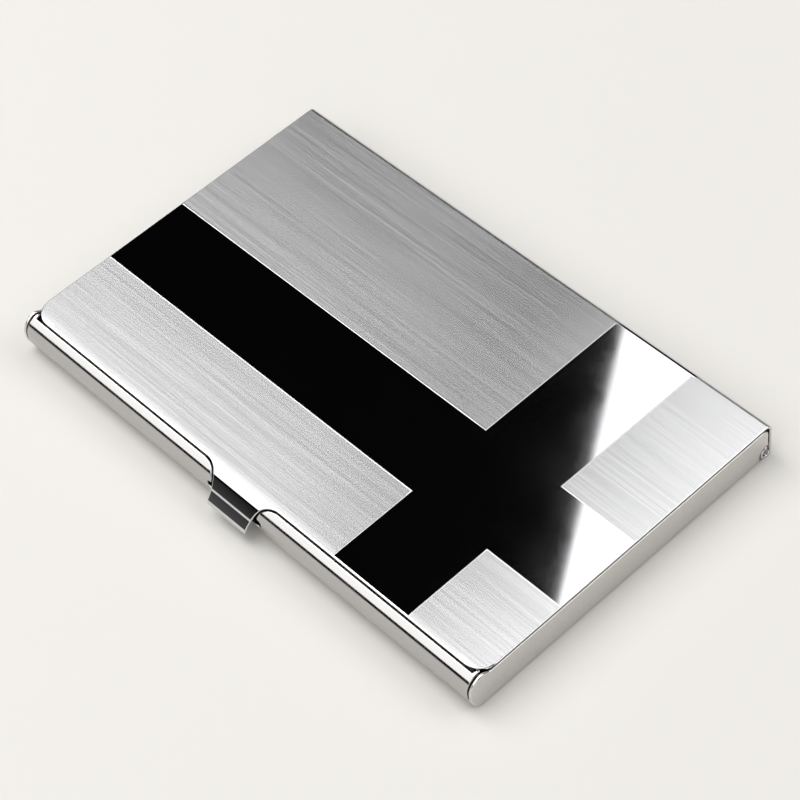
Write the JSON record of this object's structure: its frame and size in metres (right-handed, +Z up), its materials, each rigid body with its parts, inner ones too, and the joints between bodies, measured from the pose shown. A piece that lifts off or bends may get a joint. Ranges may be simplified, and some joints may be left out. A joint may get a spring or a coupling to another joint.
{
  "type": "business card case",
  "caption": "Flat sheet-steel business card case with a rolled front, a hinged brushed and mirror-polished lid with a latch tab, and a card lifter inside.",
  "frame": {"origin": "bottom centre of the closed case's bounding box, latch included", "axes": "+X along the case's length, +Y from the latch to the hinge, +Z up out of the lid"},
  "size_m": [0.0936, 0.0604, 0.0065],
  "materials": {
    "satin_steel": "fine satin, half polished",
    "brushed_steel": "brushed lengthwise, crossed by two mirror-polished bands",
    "pin_steel": "drawn wire",
    "inner_steel": "satin"
  },
  "bodies": {
    "case_base": {"base_tray": "satin_steel", "hinge_pin": "pin_steel"},
    "lid": {"lid": "brushed_steel"},
    "card_lifter": {"card_lifter": "inner_steel"}
  },
  "joints": [
    {"name": "lid_hinge", "type": "hinge", "parent": "case_base", "child": "lid", "pos_m": [0, 0.02915, 0.0011], "axis": [-1, 0, 0], "range_deg": [0, 90]},
    {"name": "lifter_tilt", "type": "hinge", "parent": "case_base", "child": "card_lifter", "pos_m": [0, 0.02915, 0.0011], "axis": [-1, 0, 0], "range_deg": [0, 12]}
  ],
  "couplings": [
    {"joint": "lifter_tilt", "follows": "lid_hinge", "ratio": 0.13}
  ]
}
